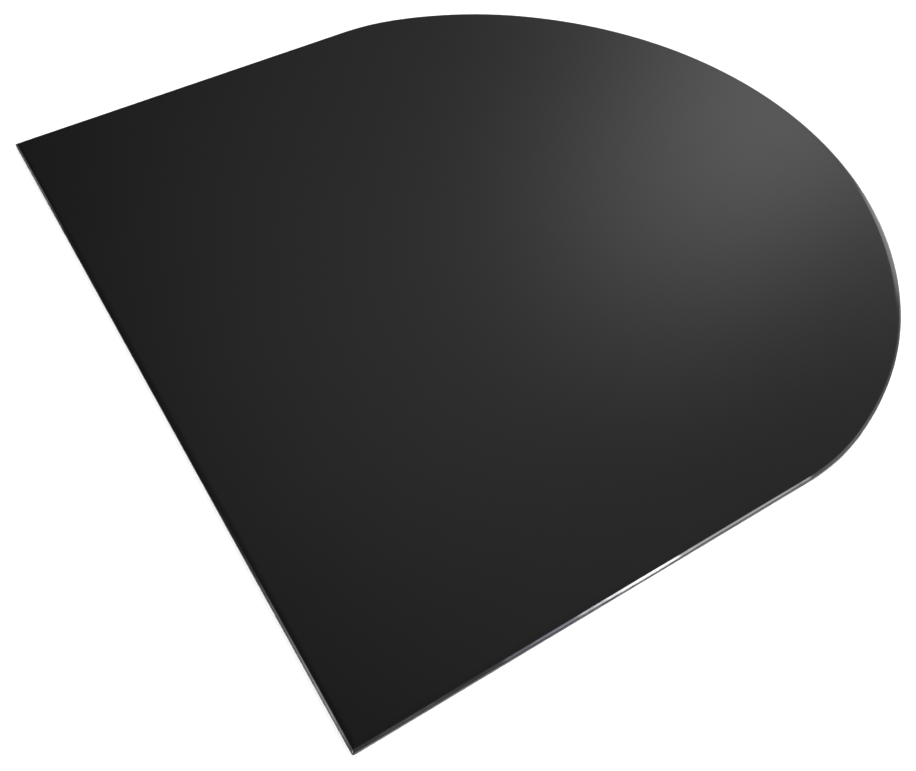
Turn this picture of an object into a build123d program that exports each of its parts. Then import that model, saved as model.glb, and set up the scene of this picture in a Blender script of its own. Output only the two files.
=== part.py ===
"""A D-shaped floor and kick protection plate of toughened black glass.

The pane has one straight edge, two parallel sides and a rounded end: its outline is a five-centred
arch. It lies on nine soft feet, and each foot is held by an adhesive disc to the black enamel that is
fired on the underside of the pane.

Frame, in millimetres: the origin is on the floor, under the middle of the plate. +X runs along the
straight edge, +Y from the straight edge to the rounded end, and +Z is up.
"""
from math import cos, radians, sin
import os

from build123d import *

# The pane's outline. The rounded end is a crown arc, a flank arc on either side of it, and a tighter
# shoulder arc that leads from each flank into the straight side. Turns are in degrees.
PANE_WIDTH = 1100.0          # between the two parallel sides
PANE_DEPTH = 1020.0          # from the straight edge to the middle of the crown
CROWN_RADIUS = 587.0
CROWN_TURN = 92.0
FLANK_RADIUS = 490.0
FLANK_TURN = 26.0
SHOULDER_TURN = 90.0 - CROWN_TURN / 2 - FLANK_TURN

# The pane's edges
PANE_THICKNESS = 6.0
BEVEL_WIDTH = 2.8            # polished bevel round the top, measured across the face
BEVEL_DROP = 1.4             # the same bevel, measured down the edge
ARRIS = 0.5                  # ground corner round the bottom
CORNER_RADIUS = 2.0          # blunted tips of the two square corners

# The enamel and the feet under the pane
ENAMEL_THICKNESS = 0.1
ENAMEL_MARGIN = 1.5          # bare glass between the enamel and the pane's edge
ADHESIVE_THICKNESS = 0.2
ADHESIVE_RADIUS = 11.0
FOOT_THICKNESS = 2.0
FOOT_RADIUS = 12.5
FOOT_ROUNDING = 0.6          # rounded rim of a foot where it meets the floor
FOOT_INSET = 60.0            # from the pane's edge to the middle of a foot
CROWN_FOOT_ANGLE = 48.0      # between neighbouring feet along the rounded end

# Heights above the floor
ADHESIVE_Z = FOOT_THICKNESS
ENAMEL_Z = ADHESIVE_Z + ADHESIVE_THICKNESS
PANE_Z = ENAMEL_Z + ENAMEL_THICKNESS

# The crown arc ends, and the flank arc begins, at CROWN_END from the +Y axis, and the flank arc ends at
# FLANK_END. The shoulder's radius is the one that brings the arch out to the pane's width, and the
# shoulder springs from its side at SPRING_Y.
HALF_WIDTH = PANE_WIDTH / 2
STRAIGHT_Y = -PANE_DEPTH / 2
CROWN_END = radians(CROWN_TURN / 2)
FLANK_END = CROWN_END + radians(FLANK_TURN)
CROWN_CENTRE_Y = PANE_DEPTH / 2 - CROWN_RADIUS
FLANK_CENTRE_X = (CROWN_RADIUS - FLANK_RADIUS) * sin(CROWN_END)
FLANK_CENTRE_Y = CROWN_CENTRE_Y + (CROWN_RADIUS - FLANK_RADIUS) * cos(CROWN_END)
FLANK_REACH = FLANK_CENTRE_X + FLANK_RADIUS * sin(FLANK_END)
SHOULDER_RADIUS = (HALF_WIDTH - FLANK_REACH) / (1 - sin(FLANK_END))
SPRING_Y = FLANK_CENTRE_Y + (FLANK_RADIUS - SHOULDER_RADIUS) * cos(FLANK_END)
ROUNDED_END = [
    (SHOULDER_RADIUS, SHOULDER_TURN),
    (FLANK_RADIUS, FLANK_TURN),
    (CROWN_RADIUS, CROWN_TURN),
    (FLANK_RADIUS, FLANK_TURN),
    (SHOULDER_RADIUS, SHOULDER_TURN),
]

# Where the feet stand: a row along the straight edge, a row across the middle, and a row that
# follows the rounded end
SIDE_FOOT_X = HALF_WIDTH - FOOT_INSET
CORNER_FOOT_Y = STRAIGHT_Y + FOOT_INSET
CROWN_CENTRE = Vector(0, CROWN_CENTRE_Y)
CROWN_FOOT = Vector(0, CROWN_RADIUS - FOOT_INSET)
FOOT_PLACES = {
    "foot_corner_left": (-SIDE_FOOT_X, CORNER_FOOT_Y),
    "foot_straight_edge": (0, CORNER_FOOT_Y),
    "foot_corner_right": (SIDE_FOOT_X, CORNER_FOOT_Y),
    "foot_side_left": (-SIDE_FOOT_X, 0),
    "foot_centre": (0, 0),
    "foot_side_right": (SIDE_FOOT_X, 0),
    "foot_crown_left": CROWN_CENTRE + CROWN_FOOT.rotate(Axis.Z, CROWN_FOOT_ANGLE),
    "foot_crown_middle": CROWN_CENTRE + CROWN_FOOT,
    "foot_crown_right": CROWN_CENTRE + CROWN_FOOT.rotate(Axis.Z, -CROWN_FOOT_ANGLE),
}


def save(builder, name):
    """Label a finished piece and write it as its own node."""
    builder.part.label = name
    export_step(builder.part, f"parts/{name}.step")


os.makedirs("parts", exist_ok=True)

with BuildSketch() as outline:
    with BuildLine():
        stretch = Line((-HALF_WIDTH, STRAIGHT_Y), (-HALF_WIDTH, SPRING_Y))
        for radius, turn in ROUNDED_END:
            stretch = JernArc(stretch @ 1, stretch % 1, radius, -turn)
        Polyline(stretch @ 1, (HALF_WIDTH, STRAIGHT_Y), (-HALF_WIDTH, STRAIGHT_Y))
    make_face()

# The toughened glass pane. Its bevels meet in mitres at the square corners, whose tips are blunted
# after the bevel is ground, and the arris runs round the bottom last.
with BuildPart() as glass_pane:
    with BuildSketch(Plane.XY.offset(PANE_Z)):
        add(outline.sketch)
    extrude(amount=PANE_THICKNESS)
    top = glass_pane.faces().sort_by(Axis.Z)[-1]
    chamfer(top.edges(), BEVEL_WIDTH, BEVEL_DROP, reference=top)
    with BuildSketch(Plane.XY.offset(PANE_Z)) as blunted:
        add(outline.sketch)
        fillet(blunted.vertices().group_by(Axis.Y)[0], CORNER_RADIUS)
    extrude(amount=PANE_THICKNESS, mode=Mode.INTERSECT)
    chamfer(glass_pane.faces().sort_by(Axis.Z)[0].edges(), ARRIS)
save(glass_pane, "glass_pane")

# The black enamel layer on its underside
with BuildPart() as enamel_backing:
    with BuildSketch(Plane.XY.offset(ENAMEL_Z)):
        add(outline.sketch)
        offset(amount=-ENAMEL_MARGIN)
    extrude(amount=ENAMEL_THICKNESS)
save(enamel_backing, "enamel_backing")

# The adhesive discs, one above each foot
with BuildPart() as adhesive_discs:
    with BuildSketch(Plane.XY.offset(ADHESIVE_Z)):
        with Locations(*FOOT_PLACES.values()):
            Circle(ADHESIVE_RADIUS)
    extrude(amount=ADHESIVE_THICKNESS)
save(adhesive_discs, "adhesive_discs")

# The soft feet that stand on the floor
for foot_name, place in FOOT_PLACES.items():
    with BuildPart() as foot:
        with BuildSketch():
            with Locations(place):
                Circle(FOOT_RADIUS)
        extrude(amount=FOOT_THICKNESS)
        fillet(foot.edges().group_by(Axis.Z)[0], FOOT_ROUNDING)
    save(foot, foot_name)
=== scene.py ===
"""The looks of a D-shaped black glass floor plate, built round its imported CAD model.

The pane is rebuilt with smooth arcs and finely rounded edges, each foot gets its moulded shape, and
the enamel and adhesive keep their CAD meshes. Lengths are in metres. Angles are in radians in the
meshes, and in degrees for the camera, the sky and the lights.
"""

from math import cos, pi, radians, sin

import bmesh
import bpy
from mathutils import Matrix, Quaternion, Vector


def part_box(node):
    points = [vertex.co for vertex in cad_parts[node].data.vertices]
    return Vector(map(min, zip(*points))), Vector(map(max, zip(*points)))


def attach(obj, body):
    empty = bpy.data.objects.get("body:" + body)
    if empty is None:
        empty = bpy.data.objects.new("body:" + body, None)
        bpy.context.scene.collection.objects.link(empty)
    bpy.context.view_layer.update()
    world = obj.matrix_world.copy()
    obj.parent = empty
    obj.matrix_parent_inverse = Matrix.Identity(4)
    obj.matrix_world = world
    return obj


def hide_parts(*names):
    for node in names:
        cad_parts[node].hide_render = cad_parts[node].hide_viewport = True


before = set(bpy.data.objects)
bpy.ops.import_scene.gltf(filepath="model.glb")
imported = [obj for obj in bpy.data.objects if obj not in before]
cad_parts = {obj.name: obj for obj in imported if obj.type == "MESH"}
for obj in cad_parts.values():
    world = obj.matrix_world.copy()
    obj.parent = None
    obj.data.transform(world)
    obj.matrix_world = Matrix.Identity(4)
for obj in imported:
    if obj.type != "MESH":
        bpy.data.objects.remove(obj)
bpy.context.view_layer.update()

BODY = "root"

# The pane's materials, in the order that it holds them
FACE, BEVEL, GROUND = range(3)

# The pane's outline and edges, as the CAD model has them
CROWN_RADIUS = 0.587
CROWN_TURN = radians(92)
FLANK_RADIUS = 0.490
FLANK_TURN = radians(26)
CORNER_RADIUS = 0.002
BEVEL_WIDTH = 0.0028
BEVEL_DROP = 0.0014
ARRIS = 0.0005

# The soft shoulder that polishing leaves between the bevel and the face
SHOULDER_WIDTH = 0.004
SHOULDER_DROP = 0.00035
SHOULDER_ROUNDING = 0.002

# How finely the pane is drawn
EDGE_ROUNDING = 0.0002       # how far each ground edge is rounded over
RIM_ROUNDING = 0.0009        # the same where the bevel meets the upright edge
EDGE_SUPPORT = 0.0001        # flat left beside a rounding, so that it doesn't shade the whole face
ROUNDING_STEPS = 6
ARC_STEP = radians(1)
CORNER_STEPS = 6
SHARP_ANGLE = radians(25)
WELD_DISTANCE = 0.000001     # vertices this close become one

# A foot's moulded underside
FOOT_SEGMENTS = 64
GROOVE_RADII = (0.0035, 0.0065, 0.0095)
GROOVE_HALF_WIDTH = 0.0004
GROOVE_DEPTH = 0.0003
FOOT_ROUNDING = 0.0006
FOOT_TAPER = 0.0004          # how much narrower a foot is at the top

GLASS_IOR = 1.52

# The camera
CAMERA_PLACE = (0.9088, -0.5874, 0.9271)
CAMERA_TARGET = (0.2216, -0.1948, 0.0)
CAMERA_ROLL = -2.45
CAMERA_LENS = 40.05
SENSOR_WIDTH = 36.0

# The floor and the wall round it
BACKDROP_RADIUS = 12.0
BACKDROP_HEIGHT = 14.0
BACKDROP_SEGMENTS = 96

# The dome: how bright it is at the horizon and overhead, and the elevations between which it fades from
# the one to the other
HORIZON = 0.7
ZENITH = 0.0
FADE_START = 2
FADE_END = 26

# The dome's glows, each with its azimuth, elevation, strength and tightness, and what mirrors it to the
# camera
GLOWS = [
    (128.3, 33.8, 0.60, 117),    # the face, in the core of its broad reflection
    (134.5, 39.9, 0.52, 90),     # the face, round that core
    (150.9, 48.1, 0.42, 16),     # the rest of the face
    (46.4, 43.3, 0.9, 4),        # the right side's bevel
    (110, 1.5, 2.3, 10),         # the crown's bevel
    (68, 36, 1.4, 30),           # the bevel where the right side turns into the rounded end
    (9, 58.2, 2.4, 2500),        # the right side's bevel, at the near corner
    (34, 19, 1.6, 60),           # the right side's rolled rim
    (-120, 37.5, 4.0, 220),      # the straight edge's bevel, near the same corner
    (-117, 38.5, 14.0, 2500),    # the straight edge's bevel, at the corner's tip
    (-155, 20.5, 1.6, 1500),     # the straight edge's bevel, at its far end
    (85, 2, -1.3, 60),           # a dark patch, which the face mirrors to a low eye in front of the plate
]

# The points on the bevel that the light panels face, and the tint of one of them
RIGHT_BEVEL = (0.55, -0.19, 0.008)
CROWN_BEVEL = (0.35, 0.39, 0.008)
FAINT_VIOLET = (0.95, 0.92, 1.15)

SUN_DISTANCE = 9.0           # keeps the sun's object off the plate, and changes nothing else


# ---------------------------------------------------------------- meshes

def new_piece(name, bm, materials, replaced):
    """Turn a bmesh into a piece that stands for a CAD node and rides on the plate."""
    bmesh.ops.recalc_face_normals(bm, faces=bm.faces)
    mesh = bpy.data.meshes.new(name)
    bm.to_mesh(mesh)
    bm.free()
    mesh.set_sharp_from_angle(angle=SHARP_ANGLE)
    for material in materials:
        mesh.materials.append(material)
    piece = bpy.data.objects.new(name, mesh)
    bpy.context.scene.collection.objects.link(piece)
    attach(piece, BODY)
    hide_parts(replaced)
    return piece


def heading(turn):
    """A flat unit vector, turned anticlockwise from +X by an angle in radians."""
    return Vector((cos(turn), sin(turn)))


def arc(centre, radius, start, end, steps):
    """Points along an arc, without its last one. Angles in radians."""
    centre = Vector(centre)
    turns = [start + (end - start) * step / steps for step in range(steps)]
    return [tuple(centre + radius * heading(turn)) for turn in turns]


def rounded_end(half_width, crown_y):
    """Centre, radius, start and end of each arc of the rounded end, anticlockwise from the right side.

    The arcs are a shoulder, a flank, the crown, and the other flank and shoulder. A shoulder's radius is
    the one that brings the arch out to the pane's width.
    """
    crown_start = (pi - CROWN_TURN) / 2
    flank_start = crown_start - FLANK_TURN
    crown_centre = Vector((0, crown_y - CROWN_RADIUS))
    flank_centre = crown_centre + (CROWN_RADIUS - FLANK_RADIUS) * heading(crown_start)
    flank_reach = flank_centre.x + FLANK_RADIUS * cos(flank_start)
    shoulder_radius = (half_width - flank_reach) / (1 - cos(flank_start))
    shoulder_centre = flank_centre + (FLANK_RADIUS - shoulder_radius) * heading(flank_start)
    right = [
        (shoulder_centre, shoulder_radius, 0, flank_start),
        (flank_centre, FLANK_RADIUS, flank_start, crown_start),
    ]
    left = [
        (Vector((-centre.x, centre.y)), radius, pi - end, pi - start)
        for centre, radius, start, end in reversed(right)
    ]
    return [*right, (crown_centre, CROWN_RADIUS, crown_start, pi - crown_start), *left]


def pane_outline(low, high, inset):
    """The pane's outline moved in by inset, as points anticlockwise from the straight edge's right end."""
    half_width = (high.x - low.x) / 2
    tip = max(CORNER_RADIUS - inset, EDGE_SUPPORT)
    tip_x = half_width - inset - tip
    tip_y = low.y + inset + tip
    points = arc((tip_x, tip_y), tip, -pi / 2, 0, CORNER_STEPS)
    points.append((half_width - inset, tip_y))
    for centre, radius, start, end in rounded_end(half_width, high.y):
        steps = round((end - start) / ARC_STEP)
        points += arc(centre, radius - inset, start, end, steps)
    points.append((inset - half_width, centre.y))
    points += arc((-tip_x, tip_y), tip, pi, 3 * pi / 2, CORNER_STEPS)
    points.append((-tip_x, tip_y - tip))
    return points


def rounded_profile(corners, ends):
    """A section's polyline with each corner rounded over and a support point on either side of it.

    Each corner comes with how far along its two sides its rounding reaches.
    """
    path = [ends[0], *(point for point, reach in corners), ends[1]]
    points = [path[0]]
    for before, (corner, reach), after in zip(path, corners, path[2:]):
        corner = Vector(corner)
        to_before = (Vector(before) - corner).normalized()
        to_after = (Vector(after) - corner).normalized()
        start = corner + to_before * reach
        end = corner + to_after * reach
        points.append(start + to_before * EDGE_SUPPORT)
        for step in range(ROUNDING_STEPS + 1):
            t = step / ROUNDING_STEPS
            points.append(start * (1 - t) ** 2 + corner * 2 * t * (1 - t) + end * t**2)
        points.append(end + to_after * EDGE_SUPPORT)
    points.append(path[-1])
    return points


def skin(bm, rings):
    """Join neighbouring closed rings of vertices with quads."""
    faces = []
    for lower, upper in zip(rings, rings[1:]):
        for i in range(len(lower)):
            j = (i + 1) % len(lower)
            faces.append(bm.faces.new((lower[i], lower[j], upper[j], upper[i])))
    return faces


def make_pane(face_material, bevel_material, ground_material):
    """The glass pane: flat faces, a soft shoulder and a polished bevel, a ground edge and an arris below."""
    low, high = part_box("glass_pane")
    thickness = high.z - low.z
    bevel_top = thickness - SHOULDER_DROP
    bevel_foot = bevel_top - BEVEL_DROP
    rim_foot = bevel_foot - RIM_ROUNDING
    shoulder_end = BEVEL_WIDTH + SHOULDER_WIDTH
    corners = [
        ((ARRIS, 0), EDGE_ROUNDING),
        ((0, ARRIS), EDGE_ROUNDING),
        ((0, bevel_foot), RIM_ROUNDING),
        ((BEVEL_WIDTH, bevel_top), EDGE_ROUNDING),
        ((shoulder_end, thickness), SHOULDER_ROUNDING),
    ]
    ends = [(2 * ARRIS, 0), (shoulder_end + 2 * SHOULDER_ROUNDING, thickness)]
    bm = bmesh.new()
    rings = []
    for inset, height in rounded_profile(corners, ends):
        outline = pane_outline(low, high, inset)
        rings.append([bm.verts.new((x, y, low.z + height)) for x, y in outline])
    underside = EDGE_ROUNDING / 10      # a height that keeps the flat underside out of the ground edge
    for face in skin(bm, rings):
        height = face.calc_center_median().z - low.z
        on_bevel = rim_foot < height < bevel_top
        on_edge = underside < height < rim_foot
        face.material_index = BEVEL if on_bevel else GROUND if on_edge else FACE
        face.smooth = True
    bm.faces.new(rings[0])
    bm.faces.new(rings[-1])
    bmesh.ops.remove_doubles(bm, verts=bm.verts, dist=WELD_DISTANCE)
    materials = [face_material, bevel_material, ground_material]
    return new_piece("pane", bm, materials, "glass_pane")


def foot_profile(radius, thickness):
    """Half of a foot's section, from its innermost groove to its top.

    A groove is twice as wide at its mouth as at its bottom.
    """
    points = []
    for middle in GROOVE_RADII:
        for side, height in ((-2, 0), (-1, GROOVE_DEPTH), (1, GROOVE_DEPTH), (2, 0)):
            points.append((middle + side * GROOVE_HALF_WIDTH, height))
    points += arc((radius - FOOT_ROUNDING, FOOT_ROUNDING), FOOT_ROUNDING, -pi / 2, 0, CORNER_STEPS)
    points.append((radius, FOOT_ROUNDING))
    points.append((radius - FOOT_TAPER, thickness))
    return points


def make_foot(node, material):
    """A moulded rubber foot: flat disc with a rounded rim and concentric grooves underneath."""
    low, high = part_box(node)
    centre = (low + high) / 2
    bm = bmesh.new()
    rings = []
    for radius, height in foot_profile((high.x - low.x) / 2, high.z - low.z):
        ring = arc((centre.x, centre.y), radius, 0, 2 * pi, FOOT_SEGMENTS)
        rings.append([bm.verts.new((x, y, low.z + height)) for x, y in ring])
    for face in skin(bm, rings):
        face.smooth = True
    bm.faces.new(rings[0])
    bm.faces.new(rings[-1])
    return new_piece("moulded_" + node, bm, [material], node)


# ---------------------------------------------------------------- materials

def new_material(name):
    """A material with its Principled shader, and its node tree."""
    material = bpy.data.materials.new(name)
    material.use_nodes = True
    tree = material.node_tree
    return material, tree, tree.nodes["Principled BSDF"]


def feed(tree, socket, value):
    """Link a socket or set a value."""
    if isinstance(value, bpy.types.NodeSocket):
        tree.links.new(value, socket)
    else:
        socket.default_value = value


def place(tree, scale=(1, 1, 1)):
    """The object's own coordinates, in metres, stretched along its axes."""
    coordinates = tree.nodes.new("ShaderNodeTexCoord")
    mapping = tree.nodes.new("ShaderNodeMapping")
    mapping.inputs["Scale"].default_value = scale
    tree.links.new(coordinates.outputs["Object"], mapping.inputs["Vector"])
    return mapping.outputs["Vector"]


def noise(tree, vector, scale, detail=4.0, roughness=0.5):
    """Soft random variation, with about as many features to a metre as its scale."""
    node = tree.nodes.new("ShaderNodeTexNoise")
    feed(tree, node.inputs["Vector"], vector)
    node.inputs["Scale"].default_value = scale
    node.inputs["Detail"].default_value = detail
    node.inputs["Roughness"].default_value = roughness
    return node.outputs["Fac"]


def calculate(tree, operation, first, second):
    """One sum, product or the like of two sockets or values."""
    node = tree.nodes.new("ShaderNodeMath")
    node.operation = operation
    feed(tree, node.inputs[0], first)
    feed(tree, node.inputs[1], second)
    return node.outputs[0]


def remap(tree, value, low, high, out_low, out_high):
    """Stretch value from low..high to out_low..out_high, eased at both ends."""
    node = tree.nodes.new("ShaderNodeMapRange")
    node.interpolation_type = "SMOOTHSTEP"
    feed(tree, node.inputs["Value"], value)
    node.inputs["From Min"].default_value = low
    node.inputs["From Max"].default_value = high
    node.inputs["To Min"].default_value = out_low
    node.inputs["To Max"].default_value = out_high
    return node.outputs["Result"]


def blend_colours(tree, factor, first, second):
    """The first colour where factor is 0, the second where it is 1."""
    node = tree.nodes.new("ShaderNodeMix")
    node.data_type = "RGBA"
    feed(tree, node.inputs["Factor"], factor)
    feed(tree, node.inputs["A"], (*first, 1))
    feed(tree, node.inputs["B"], (*second, 1))
    return node.outputs["Result"]


def bump(tree, height, strength, distance):
    """A normal that follows a height from 0 to 1, which stands for a distance in metres."""
    node = tree.nodes.new("ShaderNodeBump")
    node.inputs["Strength"].default_value = strength
    node.inputs["Distance"].default_value = distance
    feed(tree, node.inputs["Height"], height)
    return node.outputs["Normal"]


def black_glass_material():
    """Polished toughened glass over black enamel, with faint smudges and the furnace's roller waves."""
    material, tree, shader = new_material("black_glass")
    where = place(tree)
    smudges = noise(tree, where, 5.0, detail=3.0)
    haze = noise(tree, where, 60.0, detail=5.0)
    shader.inputs["IOR"].default_value = GLASS_IOR
    feed(tree, shader.inputs["Base Color"],
         blend_colours(tree, smudges, (0.0018, 0.0018, 0.0019), (0.0028, 0.0028, 0.0029)))
    wiped = remap(tree, smudges, 0.35, 0.65, 0.075, 0.100)
    dulled = remap(tree, haze, 0.3, 0.7, 0, 0.015)
    feed(tree, shader.inputs["Roughness"], calculate(tree, "ADD", wiped, dulled))
    waves = tree.nodes.new("ShaderNodeTexWave")
    waves.bands_direction = "Y"
    waves.inputs["Scale"].default_value = 1.1
    waves.inputs["Distortion"].default_value = 1.0
    feed(tree, waves.inputs["Vector"], where)
    feed(tree, shader.inputs["Normal"], bump(tree, waves.outputs["Fac"], 1.0, 0.00004))
    return material


def bevel_material():
    """The polished bevel, with a slight unevenness along it that breaks its glints up, and painted glints:
    its colour turns paler in patches along it.
    """
    material, tree, shader = new_material("polished_bevel")
    where = place(tree)
    along = noise(tree, where, 14.0, detail=4.0, roughness=0.6)
    waves = noise(tree, where, 30.0, detail=1.0)
    shader.inputs["IOR"].default_value = GLASS_IOR
    # Painted glints: the bevel's colour turns paler wherever this noise along it is high
    feed(tree, shader.inputs["Base Color"],
         blend_colours(tree, along, (0.003, 0.003, 0.0035), (0.008, 0.008, 0.009)))
    feed(tree, shader.inputs["Roughness"], remap(tree, along, 0.35, 0.65, 0.08, 0.14))
    feed(tree, shader.inputs["Normal"], bump(tree, waves, 1.0, 0.0004))
    return material


def ground_edge_material():
    """The vertical edge under the bevel: ground, satin and nearly black."""
    material, tree, shader = new_material("ground_glass_edge")
    where = place(tree)
    along = noise(tree, where, 25.0, detail=4.0, roughness=0.6)
    grind = noise(tree, where, 1200.0, detail=2.0)
    shader.inputs["IOR"].default_value = GLASS_IOR
    shader.inputs["Specular IOR Level"].default_value = 0.18
    feed(tree, shader.inputs["Base Color"],
         blend_colours(tree, along, (0.004, 0.004, 0.005), (0.009, 0.009, 0.011)))
    feed(tree, shader.inputs["Roughness"], remap(tree, along, 0.35, 0.65, 0.28, 0.42))
    feed(tree, shader.inputs["Normal"], bump(tree, grind, 0.3, 0.00005))
    return material


def enamel_material():
    """Fired black enamel: satin, with a fine grain and pinholes."""
    material, tree, shader = new_material("black_enamel")
    where = place(tree)
    grain = noise(tree, where, 400.0, detail=3.0)
    cells = tree.nodes.new("ShaderNodeTexVoronoi")
    cells.inputs["Scale"].default_value = 160.0
    feed(tree, cells.inputs["Vector"], where)
    pinholes = remap(tree, cells.outputs["Distance"], 0.02, 0.09, 1.0, 0.0)
    feed(tree, shader.inputs["Base Color"],
         blend_colours(tree, pinholes, (0.012, 0.012, 0.012), (0.05, 0.05, 0.05)))
    feed(tree, shader.inputs["Roughness"], remap(tree, grain, 0.3, 0.7, 0.36, 0.5))
    feed(tree, shader.inputs["Normal"], bump(tree, grain, 0.2, 0.00005))
    return material


def clear_rubber_material():
    """Clear polyurethane, slightly milky, with a moulded satin skin."""
    material, tree, shader = new_material("clear_rubber")
    where = place(tree)
    milk = noise(tree, where, 250.0, detail=3.0)
    skin_grain = noise(tree, where, 2500.0, detail=2.0)
    shader.inputs["IOR"].default_value = 1.5
    shader.inputs["Transmission Weight"].default_value = 0.75
    feed(tree, shader.inputs["Base Color"],
         blend_colours(tree, milk, (0.80, 0.83, 0.84), (0.90, 0.91, 0.90)))
    feed(tree, shader.inputs["Roughness"], remap(tree, milk, 0.3, 0.7, 0.22, 0.34))
    feed(tree, shader.inputs["Normal"], bump(tree, skin_grain, 0.1, 0.00002))
    return material


def adhesive_material():
    """Clear acrylic film with fine bubbles trapped in it."""
    material, tree, shader = new_material("adhesive")
    where = place(tree)
    film = noise(tree, where, 120.0, detail=3.0)
    cells = tree.nodes.new("ShaderNodeTexVoronoi")
    cells.inputs["Scale"].default_value = 700.0
    feed(tree, cells.inputs["Vector"], where)
    bubbles = remap(tree, cells.outputs["Distance"], 0.1, 0.3, 1.0, 0.0)
    feed(tree, shader.inputs["Base Color"],
         blend_colours(tree, bubbles, (0.62, 0.62, 0.59), (0.80, 0.80, 0.78)))
    feed(tree, shader.inputs["Roughness"], remap(tree, film, 0.3, 0.7, 0.3, 0.5))
    return material


def dress(node, material):
    """Give a CAD node its material."""
    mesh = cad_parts[node].data
    mesh.materials.clear()
    mesh.materials.append(material)


# ---------------------------------------------------------------- stage

def sky_direction(azimuth, elevation):
    """A unit vector. Azimuth is counted from +X towards +Y."""
    a, e = radians(azimuth), radians(elevation)
    return Vector((cos(a) * cos(e), sin(a) * cos(e), sin(e)))


def make_sky():
    """A dim dome, paler at the horizon, with soft glows that the glass mirrors."""
    world = bpy.data.worlds.new("studio")
    bpy.context.scene.world = world
    world.use_nodes = True
    tree = world.node_tree
    direction = tree.nodes.new("ShaderNodeTexCoord").outputs["Generated"]
    parts = tree.nodes.new("ShaderNodeSeparateXYZ")
    feed(tree, parts.inputs[0], direction)
    fade_start = sin(radians(FADE_START))
    fade_end = sin(radians(FADE_END))
    strength = remap(tree, parts.outputs["Z"], fade_start, fade_end, HORIZON, ZENITH)
    for azimuth, elevation, glow, tightness in GLOWS:
        facing = tree.nodes.new("ShaderNodeVectorMath")
        facing.operation = "DOT_PRODUCT"
        feed(tree, facing.inputs[0], direction)
        facing.inputs[1].default_value = sky_direction(azimuth, elevation)
        towards = calculate(tree, "MAXIMUM", facing.outputs["Value"], 0.0)
        spot = calculate(tree, "MULTIPLY", calculate(tree, "POWER", towards, tightness), glow)
        strength = calculate(tree, "ADD", strength, spot)
    background = tree.nodes["Background"]
    background.inputs["Color"].default_value = (1, 1, 1, 1)
    feed(tree, background.inputs["Strength"], strength)


def hang(light, aim, direction, distance, lean=0):
    """Put a light up so that it faces the point it is aimed at, from an azimuth and an elevation.

    A positive lean, in degrees, tips its top towards smaller azimuths.
    """
    lamp = bpy.data.objects.new(light.name, light)
    bpy.context.scene.collection.objects.link(lamp)
    towards = sky_direction(*direction)
    lamp.location = Vector(aim) + towards * distance
    lamp.rotation_mode = "QUATERNION"
    upright = (-towards).to_track_quat("-Z", "Y")
    lamp.rotation_quaternion = upright @ Quaternion((0, 0, 1), radians(lean))


def make_panel(name, aim, direction, distance, size, radiance, colour=(1, 1, 1), lean=0):
    """A soft oval light panel, as bright as its radiance whatever its size."""
    width, height = size
    light = bpy.data.lights.new(name, "AREA")
    light.shape = "ELLIPSE"
    light.size = width
    light.size_y = height
    light.energy = radiance * pi * (pi / 4 * width * height)
    light.color = colour
    hang(light, aim, direction, distance, lean)


def make_overhead(direction, spread, strength):
    """A broad soft light from above, as bright on every part of the floor."""
    light = bpy.data.lights.new("overhead", "SUN")
    light.angle = radians(spread)
    light.energy = strength
    hang(light, (0, 0, 0), direction, SUN_DISTANCE)


def pale_material(name, emission=0.0):
    """Matt white paper, hardly uneven, which can also give off a white light."""
    material, tree, shader = new_material(name)
    shade = noise(tree, place(tree), 3.0, detail=2.0)
    feed(tree, shader.inputs["Base Color"],
         blend_colours(tree, shade, (0.84, 0.84, 0.84), (0.86, 0.86, 0.86)))
    shader.inputs["Roughness"].default_value = 0.9
    shader.inputs["Emission Color"].default_value = (1, 1, 1, 1)
    shader.inputs["Emission Strength"].default_value = emission
    return material


def stage_piece(name, bm, material):
    """Turn a bmesh into a piece of the studio, which isn't part of the plate."""
    mesh = bpy.data.meshes.new(name)
    bm.to_mesh(mesh)
    bm.free()
    mesh.materials.append(material)
    piece = bpy.data.objects.new(name, mesh)
    bpy.context.scene.collection.objects.link(piece)
    return piece


def backdrop_ring(bm, height):
    """A ring of vertices round the edge of the floor, at a height."""
    ring = arc((0, 0), BACKDROP_RADIUS, 0, 2 * pi, BACKDROP_SEGMENTS)
    return [bm.verts.new((x, y, height)) for x, y in ring]


def make_floor():
    """A plain pale floor, round and flat."""
    bm = bmesh.new()
    bm.faces.new(backdrop_ring(bm, 0))
    stage_piece("floor", bm, pale_material("pale_floor"))


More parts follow.
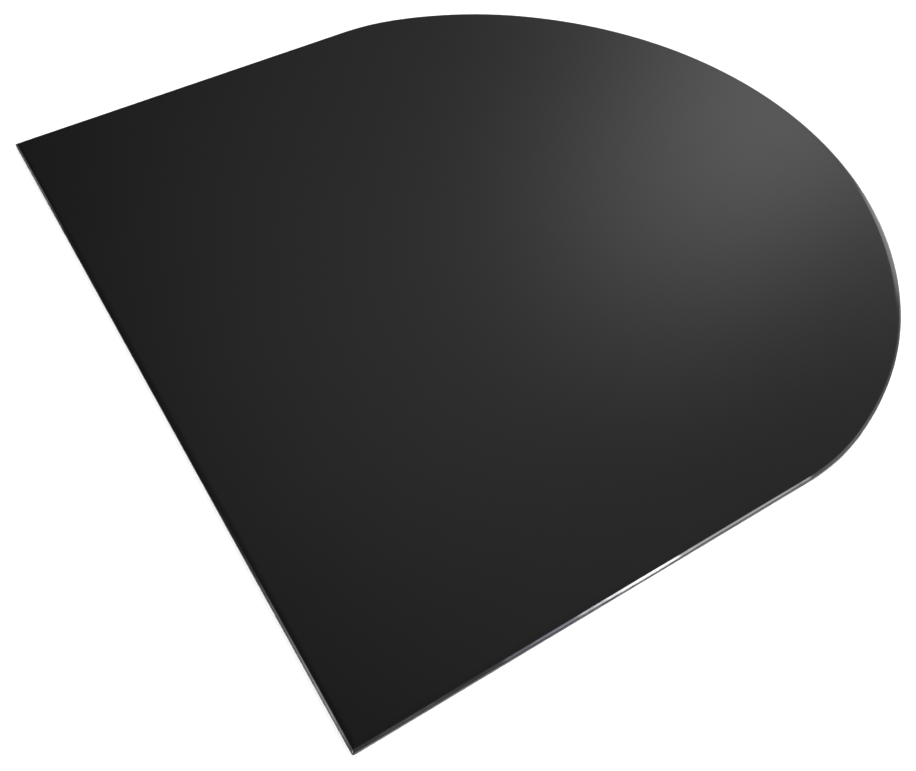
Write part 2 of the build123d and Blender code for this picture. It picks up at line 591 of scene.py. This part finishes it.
def make_backdrop():
    """A plain pale wall round the floor, evenly lit.

    Only the camera sees it, so the glass doesn't mirror it.
    """
    bm = bmesh.new()
    skin(bm, [backdrop_ring(bm, 0), backdrop_ring(bm, BACKDROP_HEIGHT)])
    wall = stage_piece("backdrop", bm, pale_material("pale_backdrop", emission=1.0))
    wall.visible_diffuse = False
    wall.visible_glossy = False
    wall.visible_transmission = False
    wall.visible_shadow = False


def make_camera():
    """The camera, rolled a little about its line of sight."""
    camera = bpy.data.cameras.new("camera")
    camera.lens = CAMERA_LENS
    camera.sensor_width = SENSOR_WIDTH
    eye = bpy.data.objects.new("camera", camera)
    bpy.context.scene.collection.objects.link(eye)
    forward = Vector(CAMERA_TARGET) - Vector(CAMERA_PLACE)
    eye.location = CAMERA_PLACE
    eye.rotation_mode = "QUATERNION"
    upright = forward.to_track_quat("-Z", "Y")
    eye.rotation_quaternion = upright @ Quaternion((0, 0, 1), radians(CAMERA_ROLL))
    bpy.context.scene.camera = eye


# ---------------------------------------------------------------- the scene

make_camera()
make_floor()
make_backdrop()
make_sky()
make_panel("key", RIGHT_BEVEL, direction=(36.8, 52), distance=3.5, size=(0.38, 0.9), radiance=24)
make_panel("key_fringe", RIGHT_BEVEL, direction=(28.8, 53.7), distance=3.55, size=(0.80, 0.9), radiance=4.0,
           colour=FAINT_VIOLET)
make_panel("key_spill", RIGHT_BEVEL, direction=(46, 48.5), distance=3.6, size=(1.13, 0.9), radiance=7.0)
make_panel("key_tail", RIGHT_BEVEL, direction=(23.6, 24), distance=3.65, size=(0.28, 2.2), radiance=32,
           lean=-12)
make_panel("window", CROWN_BEVEL, direction=(113.8, 33), distance=5.0, size=(0.9, 0.9), radiance=2.3)
make_overhead(direction=(-70, 60), spread=25, strength=3.4)
bpy.context.scene.view_settings.view_transform = "Standard"

make_pane(black_glass_material(), bevel_material(), ground_edge_material())
rubber = clear_rubber_material()
for node in sorted(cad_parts):
    if node.startswith("foot_"):
        make_foot(node, rubber)
dress("enamel_backing", enamel_material())
dress("adhesive_discs", adhesive_material())
